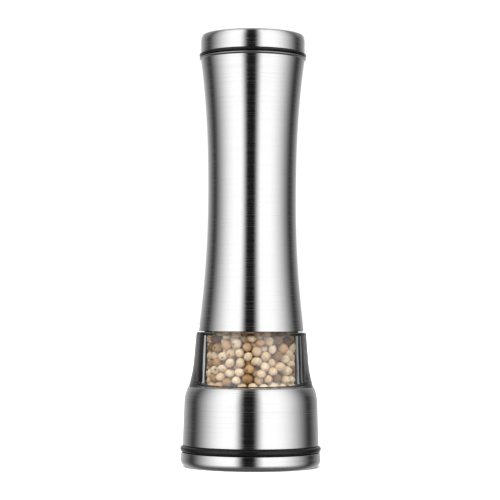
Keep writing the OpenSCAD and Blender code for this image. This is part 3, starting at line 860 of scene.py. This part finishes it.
@dataclass
class Adjuster:
    """Scalloped knob with its brass nut."""

    finishes: Finishes
    rim: float = 9.0
    edge: float = 0.8
    flat_in: float = 2.4
    grip_in: float = 2.0
    scallops: int = 8
    cutter: float = 2.3
    cutter_out: float = 1.3
    bore: float = 2.9
    seat_r: float = 4.25
    seat_foot: float = 2.0

    def knob(self) -> bpy.types.Object:
        """Builds the knob with rounded edges, scallops and a seat for the nut."""
        e = Extent.of("adjuster_knob")
        centre = self.rim + self.cutter_out

        def grip(angle: float, r: float) -> float:
            """Outer radius at an angle, cut by the scallops."""
            if r < self.rim - self.grip_in:
                return r
            step = 2 * math.pi / self.scallops
            off = (angle + step / 2) % step - step / 2
            reach = self.cutter**2 - (centre * math.sin(off)) ** 2
            if reach <= 0:
                return r
            return min(r, centre * math.cos(off) - math.sqrt(reach) - (self.rim - r))

        side, seat = self.rim - self.edge, e.foot + self.seat_foot
        o = Outline().run((self.bore, e.foot, 0.2), (self.rim - self.flat_in, e.foot, 0.1), (side, e.foot))
        o.arc((side, e.foot + self.edge), self.edge, -80, 0, 6)
        o.arc((side, e.top - self.edge), self.edge, 0, 80, 6)
        o.run((side, e.top), (self.seat_r, e.top, 0.1), (self.seat_r, seat), (self.bore, seat))
        return revolve("knob_grip", o, 288, grip)

    def build(self) -> None:
        """Builds and dresses the adjuster."""
        a = Assembly(self.finishes, Body.KNOB)
        a.fit(self.knob(), Slot.BLACK_PLASTIC, "adjuster_knob")
        a.dress(Slot.BRASS, "knob_nut")


@dataclass
class Corns:
    """The heap of pepper: several hundred corns settled round the shaft."""

    finishes: Finishes
    count: int = 520
    small: float = 3.9
    large: float = 4.9
    seed: int = 20417
    rounds: int = 420
    clear: float = 0.12
    shaft_r: float = 5.3
    arm_w: float = 3.6
    hub_r: float = 8.1
    sink: float = 2.4
    wall_gap: float = 0.38
    neck_r: float = 19.75
    neck_z: float = 60.2
    bridge_h: float = 4.6
    seen_depth: float = 8.5
    seen_top: float = 64.0

    def settle(self, wall_r: float, bed: float, roof: float) -> tuple:
        """Shakes the corns down until they hardly overlap.

        Args:
            wall_r: radius of the chamber.
            bed: height of the bridge's arms; between them the corns lie lower.
            roof: height that no corn passes.

        Returns:
            The corns' centres and radii, in millimetres.
        """
        rng = np.random.default_rng(self.seed)
        size = rng.uniform(self.small, self.large, self.count) / 2
        angle = rng.uniform(0, 2 * math.pi, self.count)
        span = np.sqrt(rng.uniform((self.shaft_r + 3) ** 2, (self.neck_r - 3) ** 2, self.count))
        at = np.stack(
            [span * np.cos(angle), span * np.sin(angle), rng.uniform(bed + 2, roof - 3, self.count)], 1
        )
        reach = size[:, None] + size[None, :]
        for step in range(self.rounds):
            at[:, 2] -= 0.06 * (1 - step / self.rounds)
            gap = at[:, None, :] - at[None, :, :]
            dist = np.sqrt((gap**2).sum(2)) + np.eye(self.count) * 99
            push = np.clip(reach - dist, 0, None) / dist * 0.36
            at += (gap * push[:, :, None]).sum(1)
            radial = np.hypot(at[:, 0], at[:, 1]) + 1e-9
            share = np.clip((at[:, 2] + size - self.neck_z) / 2.0, 0, 1)
            limit = wall_r + (self.neck_r - wall_r) * share - size - self.clear
            wanted = np.clip(radial, self.shaft_r + size, limit)
            at[:, :2] *= (wanted / radial)[:, None]
            on_arm = np.zeros(self.count, bool)
            for arm in range(3):
                way = (math.cos(2 * math.pi * arm / 3), math.sin(2 * math.pi * arm / 3))
                aside = np.abs(at[:, 0] * way[1] - at[:, 1] * way[0])
                on_arm |= (aside < self.arm_w / 2 + size) & (at[:, 0] * way[0] + at[:, 1] * way[1] > 0)
            on_arm |= radial < self.hub_r + size
            floor = np.where(on_arm, bed, bed - self.sink)
            at[:, 2] = np.clip(at[:, 2], floor + size, roof - size)
        return at, size

    def heap(self) -> bpy.types.Object:
        """Builds every corn: a lumpy, wrinkled ball with a stem scar."""
        room = Extent.of("peppercorns")
        bore = room.r + self.wall_gap
        bed = Extent.of("bearing_bridge").foot + self.bridge_h
        at, size = self.settle(bore, bed, room.top)
        rng = np.random.default_rng(self.seed + 1)
        points, faces, tones, scars = [], [], [], []
        balls = {n: self.ball(n) for n in (2, 3)}
        for i in range(self.count):
            near_wall = math.hypot(at[i][0], at[i][1]) > bore - self.seen_depth
            shown = near_wall and at[i][2] < self.seen_top
            dots, tris = balls[3 if shown else 2]
            turn = Euler(rng.uniform(0, 2 * math.pi, 3)).to_matrix()
            stretch = Vector((1.0, rng.uniform(0.9, 1.0), rng.uniform(0.8, 1.0)))
            offset = Vector(rng.uniform(-50, 50, 3))
            wrinkle = rng.uniform(0.25, 1.0)
            tone = float(rng.beta(3.2, 1.15)) if rng.uniform() > 0.17 else float(rng.uniform(0.0, 0.3))
            start = len(points)
            for d in dots:
                rough = noise.noise(d * 1.6 + offset) * 0.035
                crease = 1 - abs(noise.noise(d * 3.4 + offset)) * 2
                rough -= max(0.0, crease) ** 6 * 0.035 * wrinkle
                rough += noise.noise(d * 6.5 + offset) * 0.008
                pit = max(0.0, (d.z - 0.94) / 0.06)
                rough -= 0.05 * pit
                p = turn @ Vector(a * b for a, b in zip(d, stretch)) * (size[i] * (0.985 + rough))
                points.append(tuple((Vector(at[i]) + p) * MM))
                tones.append(tone)
                scars.append(min(1.0, pit * 1.3) * (1.0 if wrinkle > 0.45 else 0.35))
            faces.extend([[a + start for a in tri] for tri in tris])
        piece = mesh_piece("pepper_heap", points, faces)
        for key, values in (("tone", tones), ("scar", scars)):
            attribute = piece.data.attributes.new(key, "FLOAT", "POINT")
            attribute.data.foreach_set("value", np.array(values, np.float32))
        piece.data.shade_smooth()
        return piece

    @staticmethod
    def ball(fineness: int) -> tuple[list[Vector], list[list[int]]]:
        """Gives the points and triangles of a round ball of radius 1."""
        made = bmesh.new()
        bmesh.ops.create_icosphere(made, subdivisions=fineness + 1, radius=1.0)
        made.verts.ensure_lookup_table()
        dots = [v.co.copy() for v in made.verts]
        tris = [[v.index for v in f.verts] for f in made.faces]
        made.free()
        return dots, tris

    def build(self) -> None:
        """Builds the heap."""
        a = Assembly(self.finishes, Body.BASE)
        a.fit(self.heap(), Slot.PEPPER, "peppercorns")


@dataclass
class Window:
    """Clear body: flared window, neck and spigot in one moulding."""

    finishes: Finishes
    height: float = 25.1
    top_r: float = 25.38
    flare_h: float = 12.0
    flare_r: float = 57.0
    bore_r: float = 20.98
    neck_r: float = 21.58
    neck_bore: float = 19.78
    slope_h: float = 1.9
    lip: float = 0.4
    lip_h: float = 1.5
    spigot_in: float = 23.98
    spigot_out: float = 26.98
    spigot_h: float = 4.9
    top_edge: float = 0.8
    foot_edge: float = 0.35

    def clear(self) -> bpy.types.Object:
        """Builds the clear moulding."""
        e = Extent.of("window_body")
        foot = e.foot + self.spigot_h
        top = foot + self.height
        bend = foot + self.flare_h
        spread = self.flare_r - math.sqrt(self.flare_r**2 - self.flare_h**2)
        lean = (e.r - self.top_r - spread) / self.height
        tilt = math.atan(lean)
        bend_r = self.top_r + (top - bend) * lean
        centre = (bend_r + self.flare_r * math.cos(tilt), bend + self.flare_r * math.sin(tilt))

        def flare(z: float) -> float:
            """Outer radius of the flared foot."""
            return min(e.r, centre[0] - math.sqrt(self.flare_r**2 - (z - centre[1]) ** 2))

        lip_r = self.neck_r + self.lip
        o = Outline().run(
            (self.bore_r, foot, 0.15),
            (self.spigot_in, foot, 0.2),
            (self.spigot_in, e.foot, 0.3),
            (self.spigot_out, e.foot, 0.3),
            (self.spigot_out, foot, 0.2),
            (flare(foot), foot, self.foot_edge),
        )
        o.wall(flare, foot + 0.9, bend, 24).run(
            (self.top_r, top, self.top_edge),
            (self.neck_r, top, 0.3),
            (self.neck_r, e.top - self.lip_h, 0.1),
            (lip_r, e.top - self.lip_h / 2, 0.1),
            (lip_r, e.top, 0.2),
            (self.neck_bore, e.top, 0.3),
            (self.neck_bore, top, 0.6),
            (self.bore_r, top - self.slope_h, 0.6),
        )
        return revolve("clear_window", o, 256)

    def build(self) -> None:
        """Builds and dresses the window."""
        a = Assembly(self.finishes, Body.BASE)
        clear = a.fit(self.clear(), Slot.ACRYLIC, "window_body")
        clear.visible_shadow = False
        a.dress(Slot.RUBBER, "window_seal")


@dataclass
class Base:
    """Steel base with its rings, housing and fixed burr."""

    finishes: Finishes
    sheet: float = 0.7
    taper: float = 0.6
    shoulder_h: float = 8.0
    shoulder_in: float = 1.67
    foot_corner: float = 3.2
    foot_flat: float = 2.0
    foot_lean: float = 0.18
    lip_cut: float = 0.5
    grip_power: float = 0.94

    def shell(self) -> bpy.types.Object:
        """Builds the steel skin, with its rounded shoulder."""
        e = Extent.of("base_shell")
        shoulder = e.top - self.shoulder_h

        def skin(z: float) -> float:
            """Outer radius at a height."""
            down = e.r - self.taper * (min(z, shoulder) - e.foot) / (shoulder - e.foot)
            if z <= shoulder:
                return down
            return down - self.shoulder_in * ((z - shoulder) / self.shoulder_h) ** 2

        def lining(z: float) -> float:
            """Inner radius at a height."""
            return skin(z) - self.sheet

        o = Outline().run((lining(e.foot), e.foot, 0.2), (skin(e.foot), e.foot, 0.32))
        o.wall(skin, e.foot + 0.9, e.top - 1.2, 40)
        o.run((skin(e.top), e.top, 0.4), (lining(e.top), e.top, 0.15))
        o.wall(lining, e.top - 0.6, e.foot + 0.6, 24)
        return revolve("base_skin", o)

    def grip(self) -> bpy.types.Object:
        """Builds the rubber ring: a round section with a slightly flattened face."""
        e = Extent.of("grip_ring")
        half = (e.top - e.foot) / 2
        o = Outline()
        for i in range(40):
            a = -math.pi / 2 + 2 * math.pi * i / 40
            c, s = math.cos(a), math.sin(a)
            out = half * abs(c) ** self.grip_power * math.copysign(1, c)
            o.corner(e.r - half + out, e.foot + half + half * s)
        return revolve("rubber_grip", o)

    def foot(self) -> bpy.types.Object:
        """Builds the rolled steel channel under the mill."""
        e = Extent.of("foot_ring")
        c = (e.r - self.foot_corner, self.foot_corner)
        inner = c[0] - self.foot_flat
        top_r, lip_r, lip_top = e.r - self.foot_lean, inner + self.sheet, e.top - self.lip_cut
        o = Outline().run((inner, 0.0, 0.5), (c[0], 0.0))
        o.arc(c, self.foot_corner, -84, 0, 16)
        o.run((top_r, e.top, 0.3), (top_r - self.sheet, e.top, 0.15))
        o.arc(c, self.foot_corner - self.sheet, 0, -84, 10)
        o.run((lip_r, self.sheet, 0.2), (lip_r, lip_top, 0.2), (inner, lip_top, 0.2))
        return revolve("foot_channel", o)

    def build(self) -> None:
        """Builds and dresses the base."""
        a = Assembly(self.finishes, Body.BASE)
        a.fit(self.shell(), Slot.BRUSHED_STEEL, "base_shell")
        a.fit(self.grip(), Slot.RUBBER, "grip_ring")
        a.fit(self.foot(), Slot.BRUSHED_STEEL, "foot_ring")
        a.dress(Slot.BLACK_PLASTIC, "mill_housing", "bearing_bridge", "bottom_cover")
        a.dress(Slot.CERAMIC, "stator_burr")
        a.dress(Slot.PLAIN_STEEL, "cover_screws")


# --------------------------------------------------------------------- studio


@dataclass(frozen=True)
class SoftBox:
    """A tall soft light, given by the compass angles it fades between.

    Angles are degrees from the front (-Y), positive towards +X.
    """

    rise: tuple[float, float]
    fall: tuple[float, float]
    strength: float


@dataclass
class Studio:
    """Pale floor, soft boxes round the mill and the camera."""

    boxes: tuple[SoftBox, ...] = (
        SoftBox((3.5, 24.0), (42.0, 122.0), 1.86),
        SoftBox((-119.0, -44.0), (-30.0, -10.5), 1.86),
    )
    rims: tuple[SoftBox, ...] = (
        SoftBox((110.0, 165.0), (181.0, 182.0), 0.58),
        SoftBox((-182.0, -181.0), (-165.0, -106.0), 0.66),
    )
    edges: tuple[SoftBox, ...] = (
        SoftBox((122.0, 126.0), (130.0, 134.0), 0.30),
        SoftBox((141.0, 144.0), (146.0, 150.0), 0.16),
        SoftBox((152.0, 168.0), (172.0, 181.0), 0.11),
        SoftBox((-136.0, -131.0), (-128.0, -124.0), 0.55),
        SoftBox((-181.0, -172.0), (-168.0, -150.0), 0.09),
    )
    dim: float = 0.012
    ceiling: float = 0.42
    back_sky: float = 0.50
    ground: float = 0.14
    backdrop: float = 1.05
    sun_strength: float = 4.2
    back_strength: float = 1.4
    distance: float = 0.8195
    height: float = 0.0694
    lens: float = 127.4
    pitch: float = 2.13
    roll: float = 0.33
    yaw: float = 0.056

    def world(self) -> None:
        """Paints the soft boxes on the sky; the eye sees a plain pale backdrop.

        Black flags stand behind the mill, out of the steel's sight: only rays that
        come through the window meet them, with the thin edge lights between them.
        """
        world = bpy.data.worlds.new("studio")
        bpy.context.scene.world = world
        world.use_nodes = True
        tree = world.node_tree
        tree.nodes.clear()

        def math_node(operation: str, *values: object) -> bpy.types.NodeSocket:
            """Adds a sum of sockets and numbers, and gives its result."""
            node = tree.nodes.new("ShaderNodeMath")
            node.operation = operation
            for socket, value in zip(node.inputs, values):
                if isinstance(value, (int, float)):
                    socket.default_value = value
                else:
                    tree.links.new(value, socket)
            return node.outputs[0]

        def step(value: bpy.types.NodeSocket, ends: tuple[float, float], up: bool) -> bpy.types.NodeSocket:
            """Adds a smooth step between two values."""
            node = tree.nodes.new("ShaderNodeMapRange")
            node.interpolation_type = "SMOOTHSTEP"
            node.inputs["From Min"].default_value = ends[0]
            node.inputs["From Max"].default_value = ends[1]
            node.inputs["To Min"].default_value = 0.0 if up else 1.0
            node.inputs["To Max"].default_value = 1.0 if up else 0.0
            tree.links.new(value, node.inputs["Value"])
            return node.outputs["Result"]

        way = tree.nodes.new("ShaderNodeTexCoord").outputs["Generated"]
        split = tree.nodes.new("ShaderNodeSeparateXYZ")
        tree.links.new(way, split.inputs[0])
        x, y, z = split.outputs
        front = math_node("MULTIPLY", y, -1.0)
        compass = math_node("MULTIPLY", math_node("ARCTAN2", x, front), 180 / math.pi)
        path = tree.nodes.new("ShaderNodeLightPath")

        def glow(total: object, boxes: tuple[SoftBox, ...]) -> object:
            """Adds soft boxes to what is lit so far."""
            for box in boxes:
                lit = math_node("MULTIPLY", step(compass, box.rise, True), step(compass, box.fall, False))
                total = math_node("MULTIPLY_ADD", lit, box.strength, total)
            return total

        total = glow(self.dim, self.boxes)
        behind = glow(0.0, self.rims)
        through = glow(0.0, self.edges)
        seen = tree.nodes.new("ShaderNodeMix")
        tree.links.new(path.outputs["Is Transmission Ray"], seen.inputs["Factor"])
        tree.links.new(behind, seen.inputs["A"])
        tree.links.new(through, seen.inputs["B"])
        total = math_node("ADD", total, seen.outputs["Result"])
        rear = step(math_node("ABSOLUTE", compass), (95.0, 125.0), True)
        for height, ends, level in (
            (z, (0.60, 0.97), self.ceiling),
            (math_node("MULTIPLY", z, rear), (0.12, 0.55), self.back_sky),
            (math_node("MULTIPLY", z, -1.0), (0.30, 0.80), self.ground),
        ):
            mix = tree.nodes.new("ShaderNodeMix")
            tree.links.new(step(height, ends, True), mix.inputs["Factor"])
            tree.links.new(total, mix.inputs["A"])
            mix.inputs["B"].default_value = level
            total = mix.outputs["Result"]
        lights, plain = (tree.nodes.new("ShaderNodeBackground") for _ in range(2))
        tree.links.new(total, lights.inputs["Strength"])
        plain.inputs["Strength"].default_value = self.backdrop
        for glowing in (lights, plain):
            glowing.inputs["Color"].default_value = (1.0, 1.0, 1.0, 1.0)
        shown = tree.nodes.new("ShaderNodeMixShader")
        tree.links.new(path.outputs["Is Camera Ray"], shown.inputs[0])
        tree.links.new(lights.outputs[0], shown.inputs[1])
        tree.links.new(plain.outputs[0], shown.inputs[2])
        out = tree.nodes.new("ShaderNodeOutputWorld")
        tree.links.new(shown.outputs[0], out.inputs["Surface"])

    def overhead(self) -> None:
        """Hangs one broad soft light over the table and a weaker one behind it.

        Bright metal doesn't mirror either of them.
        """
        for name, strength, lean, turn in (
            ("overhead", self.sun_strength, 34.0, -14.0),
            ("back_light", self.back_strength, -48.0, 8.0),
        ):
            light = bpy.data.lights.new(name, "SUN")
            light.energy = strength
            light.angle = math.radians(80)
            lamp = bpy.data.objects.new(name, light)
            lamp.rotation_euler = (math.radians(lean), 0.0, math.radians(turn))
            lamp.visible_glossy = False
            lamp.visible_transmission = False
            bpy.context.scene.collection.objects.link(lamp)

    def floor(self) -> None:
        """Lays the plain pale floor, which is clear from below so the foot shows."""
        half = 12.0
        table = mesh_piece(
            "floor",
            [(-half, -half, 0.0), (half, -half, 0.0), (half, half, 0.0), (-half, half, 0.0)],
            [[0, 1, 2, 3]],
        )
        s = Shader("pale_floor")
        s.set(Specular_IOR_Level=0.1, Roughness=0.9)
        s.paint(s.blend(s.grain(s.place(), 30.0), (0.90, 0.90, 0.90), (0.915, 0.915, 0.912)))
        side = s.add("MixShader")
        s.join(s.add("NewGeometry").outputs["Backfacing"], side.inputs[0])
        s.join(s.surface.outputs[0], side.inputs[1])
        s.join(s.add("BsdfTransparent").outputs[0], side.inputs[2])
        s.join(side.outputs[0], s.tree.nodes["Material Output"].inputs["Surface"])
        table.data.materials.append(s.material)
        table.visible_glossy = False
        table.visible_transmission = False

    def camera(self) -> None:
        """Sets the camera a little above the table, tipped up slightly."""
        data = bpy.data.cameras.new("camera")
        data.lens = self.lens
        data.sensor_width = 36.0
        data.clip_start = 0.01
        data.clip_end = 100.0
        eye = bpy.data.objects.new("camera", data)
        bpy.context.scene.collection.objects.link(eye)
        eye.location = (0.0, -self.distance, self.height)
        turn = Euler((math.radians(90 + self.pitch), 0.0, math.radians(self.yaw))).to_matrix()
        tip = Euler((0.0, 0.0, math.radians(self.roll))).to_matrix()
        eye.rotation_euler = (turn @ tip).to_euler()
        bpy.context.scene.camera = eye

    def build(self) -> None:
        """Builds the studio."""
        self.world()
        self.overhead()
        self.floor()
        self.camera()
        bpy.context.scene.view_settings.view_transform = "Standard"
        bpy.context.scene.view_settings.look = "None"


def main() -> None:
    """Builds the mill, top to bottom, and its studio."""
    logging.basicConfig(level=logging.INFO, format="%(name)s: %(message)s")
    finishes = Finishes()
    Studio().build()
    for part in (
        Cap(finishes),
        Handle(finishes),
        Grinder(finishes),
        Adjuster(finishes),
        Window(finishes),
        Corns(finishes),
        Base(finishes),
    ):
        part.build()
        LOG.info("%s done", type(part).__name__)


if __name__ == "__main__":
    main()
